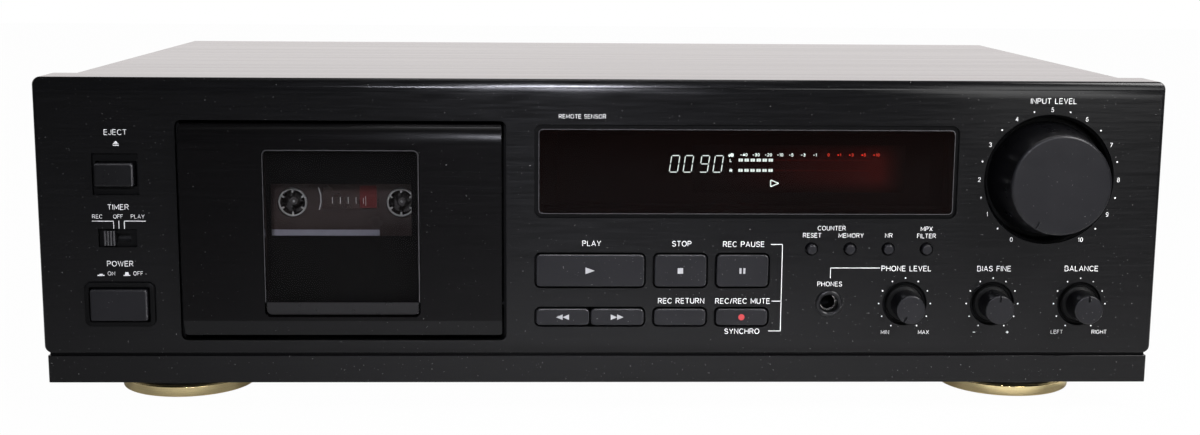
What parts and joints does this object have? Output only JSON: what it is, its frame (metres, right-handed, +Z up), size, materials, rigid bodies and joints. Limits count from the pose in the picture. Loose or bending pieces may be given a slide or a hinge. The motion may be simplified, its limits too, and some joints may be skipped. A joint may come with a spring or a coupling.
{
  "type": "cassette deck",
  "caption": "Full-width hi-fi cassette deck with a front tape door, a level display, push buttons, small knobs and a large level dial.",
  "frame": {"origin": "on the floor under the middle of the overall box", "axes": "+X to the right as seen from the front, +Y to the back, +Z up; the front faces -Y"},
  "size_m": [0.434, 0.2666, 0.1315],
  "materials": {
    "brushed_black": "brushed, anodised black",
    "satin_black": "satin black paint",
    "zinc_steel": "zinc plated",
    "black_plastic": "matte black",
    "button_plastic": "fine satin, charcoal",
    "gilt_metal": "polished gilt",
    "smoked_acrylic": "smoked, clear in part",
    "display_glass": "dark display glass",
    "cassette_plastic": "smoke tinted",
    "white_plastic": "white acetal",
    "board_resin": "lacquered board",
    "black_rubber": "plain",
    "flywheel_brass": "machined"
  },
  "bodies": {
    "chassis": {"base_pan": "zinc_steel", "capstan_motor": "zinc_steel", "display_tube": "display_glass", "display_window": "smoked_acrylic", "drive_belt": "black_rubber", "foot_front_left": "black_plastic", "foot_front_right": "black_plastic", "foot_rear_left": "black_plastic", "foot_rear_right": "black_plastic", "foot_ring_front_left": "gilt_metal", "foot_ring_front_right": "gilt_metal", "foot_ring_rear_left": "gilt_metal", "foot_ring_rear_right": "gilt_metal", "front_board": "board_resin", "front_panel": "brushed_black", "front_skirt": "brushed_black", "head_block": "zinc_steel", "line_jacks": "black_plastic", "main_board": "board_resin", "mains_inlet": "black_plastic", "mechanism_frame": "zinc_steel", "phones_jack": "black_plastic", "power_button_frame": "black_plastic", "power_switch": "black_plastic", "power_transformer": "zinc_steel", "rear_panel": "satin_black", "reel_motor": "zinc_steel", "timer_switch": "zinc_steel", "top_cover": "satin_black"},
    "play_button": {"play_button": "button_plastic"},
    "stop_button": {"stop_button": "button_plastic"},
    "pause_button": {"pause_button": "button_plastic"},
    "rewind_button": {"rewind_button": "button_plastic"},
    "forward_button": {"forward_button": "button_plastic"},
    "return_button": {"return_button": "button_plastic"},
    "record_button": {"record_button": "button_plastic"},
    "counter_reset_button": {"counter_reset_button": "button_plastic"},
    "counter_memory_button": {"counter_memory_button": "button_plastic"},
    "noise_reduction_button": {"noise_reduction_button": "button_plastic"},
    "filter_button": {"filter_button": "button_plastic"},
    "eject_button": {"eject_button": "button_plastic"},
    "timer_knob": {"timer_knob": "button_plastic"},
    "power_button": {"power_button": "button_plastic"},
    "phone_level_knob": {"phone_level_knob": "button_plastic"},
    "bias_knob": {"bias_knob": "button_plastic"},
    "balance_knob": {"balance_knob": "button_plastic"},
    "input_level_dial": {"input_level_dial": "button_plastic"},
    "left_tape_reel": {"left_tape_reel": "white_plastic"},
    "right_tape_reel": {"right_tape_reel": "white_plastic"},
    "left_spindle": {"left_spindle": "white_plastic"},
    "right_spindle": {"right_spindle": "white_plastic"},
    "reel_idler": {"reel_idler": "black_rubber"},
    "capstan_flywheel": {"capstan_flywheel": "flywheel_brass"},
    "motor_pulley": {"motor_pulley": "flywheel_brass"},
    "pinch_roller": {"pinch_roller": "black_rubber"},
    "tape_door": {"cassette_door": "brushed_black", "door_window": "smoked_acrylic", "cassette_holder": "black_plastic", "cassette_shell": "cassette_plastic"}
  },
  "joints": [
    {"name": "play_button_press", "type": "slide", "parent": "chassis", "child": "play_button", "axis": [0, 1, 0], "range_m": [0, 0.001], "stiffness_N_per_m": 400},
    {"name": "stop_button_press", "type": "slide", "parent": "chassis", "child": "stop_button", "axis": [0, 1, 0], "range_m": [0, 0.001], "stiffness_N_per_m": 400},
    {"name": "pause_button_press", "type": "slide", "parent": "chassis", "child": "pause_button", "axis": [0, 1, 0], "range_m": [0, 0.001], "stiffness_N_per_m": 400},
    {"name": "rewind_button_press", "type": "slide", "parent": "chassis", "child": "rewind_button", "axis": [0, 1, 0], "range_m": [0, 0.001], "stiffness_N_per_m": 400},
    {"name": "forward_button_press", "type": "slide", "parent": "chassis", "child": "forward_button", "axis": [0, 1, 0], "range_m": [0, 0.001], "stiffness_N_per_m": 400},
    {"name": "return_button_press", "type": "slide", "parent": "chassis", "child": "return_button", "axis": [0, 1, 0], "range_m": [0, 0.001], "stiffness_N_per_m": 400},
    {"name": "record_button_press", "type": "slide", "parent": "chassis", "child": "record_button", "axis": [0, 1, 0], "range_m": [0, 0.001], "stiffness_N_per_m": 400},
    {"name": "counter_reset_button_press", "type": "slide", "parent": "chassis", "child": "counter_reset_button", "axis": [0, 1, 0], "range_m": [0, 0.001], "stiffness_N_per_m": 400},
    {"name": "counter_memory_button_press", "type": "slide", "parent": "chassis", "child": "counter_memory_button", "axis": [0, 1, 0], "range_m": [0, 0.001], "stiffness_N_per_m": 400},
    {"name": "noise_reduction_button_press", "type": "slide", "parent": "chassis", "child": "noise_reduction_button", "axis": [0, 1, 0], "range_m": [0, 0.001], "stiffness_N_per_m": 400},
    {"name": "filter_button_press", "type": "slide", "parent": "chassis", "child": "filter_button", "axis": [0, 1, 0], "range_m": [0, 0.001], "stiffness_N_per_m": 400},
    {"name": "eject_button_press", "type": "slide", "parent": "chassis", "child": "eject_button", "axis": [0, 1, 0], "range_m": [0, 0.0025], "stiffness_N_per_m": 300},
    {"name": "power_button_press", "type": "slide", "parent": "chassis", "child": "power_button", "axis": [0, 1, 0], "range_m": [-0.004, 0]},
    {"name": "timer_knob_slide", "type": "slide", "parent": "chassis", "child": "timer_knob", "axis": [1, 0, 0], "range_m": [0, 0.0061]},
    {"name": "phone_level_turn", "type": "hinge", "parent": "chassis", "child": "phone_level_knob", "pos_m": [0.11831, -0.11685, 0.0442], "axis": [0, 1, 0], "range_deg": [0, 300]},
    {"name": "bias_turn", "type": "hinge", "parent": "chassis", "child": "bias_knob", "pos_m": [0.1529, -0.11685, 0.0442], "axis": [0, 1, 0], "range_deg": [-150, 150]},
    {"name": "balance_turn", "type": "hinge", "parent": "chassis", "child": "balance_knob", "pos_m": [0.1875, -0.11685, 0.0442], "axis": [0, 1, 0], "range_deg": [-150, 150]},
    {"name": "input_level_turn", "type": "hinge", "parent": "chassis", "child": "input_level_dial", "pos_m": [0.1729, -0.11685, 0.0934], "axis": [0, 1, 0], "range_deg": [0, 300]},
    {"name": "door_tilt", "type": "hinge", "parent": "chassis", "child": "tape_door", "pos_m": [-0.10065, -0.10885, 0.0425], "axis": [1, 0, 0], "range_deg": [0, 20]},
    {"name": "left_reel_turn", "type": "hinge", "parent": "tape_door", "child": "left_tape_reel", "pos_m": [-0.1219, -0.0985, 0.0815], "axis": [0, 1, 0], "continuous": true},
    {"name": "right_reel_turn", "type": "hinge", "parent": "tape_door", "child": "right_tape_reel", "pos_m": [-0.0794, -0.0985, 0.0815], "axis": [0, 1, 0], "continuous": true},
    {"name": "left_spindle_turn", "type": "hinge", "parent": "chassis", "child": "left_spindle", "pos_m": [-0.1219, -0.08875, 0.0815], "axis": [0, 1, 0], "continuous": true},
    {"name": "right_spindle_turn", "type": "hinge", "parent": "chassis", "child": "right_spindle", "pos_m": [-0.0794, -0.08875, 0.0815], "axis": [0, 1, 0], "continuous": true},
    {"name": "idler_turn", "type": "hinge", "parent": "chassis", "child": "reel_idler", "pos_m": [-0.09603, -0.08875, 0.09314], "axis": [0, 1, 0], "continuous": true},
    {"name": "flywheel_turn", "type": "hinge", "parent": "chassis", "child": "capstan_flywheel", "pos_m": [-0.07965, -0.07915, 0.0531], "axis": [0, 1, 0], "continuous": true},
    {"name": "motor_pulley_turn", "type": "hinge", "parent": "chassis", "child": "motor_pulley", "pos_m": [-0.14165, -0.07915, 0.0531], "axis": [0, 1, 0], "continuous": true},
    {"name": "pinch_roller_turn", "type": "hinge", "parent": "chassis", "child": "pinch_roller", "pos_m": [-0.07965, -0.0985, 0.039], "axis": [0, 1, 0], "continuous": true}
  ],
  "couplings": [
    {"joint": "left_reel_turn", "follows": "left_spindle_turn", "ratio": 1},
    {"joint": "right_reel_turn", "follows": "right_spindle_turn", "ratio": 1},
    {"joint": "idler_turn", "follows": "right_spindle_turn", "ratio": -1.5},
    {"joint": "motor_pulley_turn", "follows": "flywheel_turn", "ratio": 5.5}
  ]
}
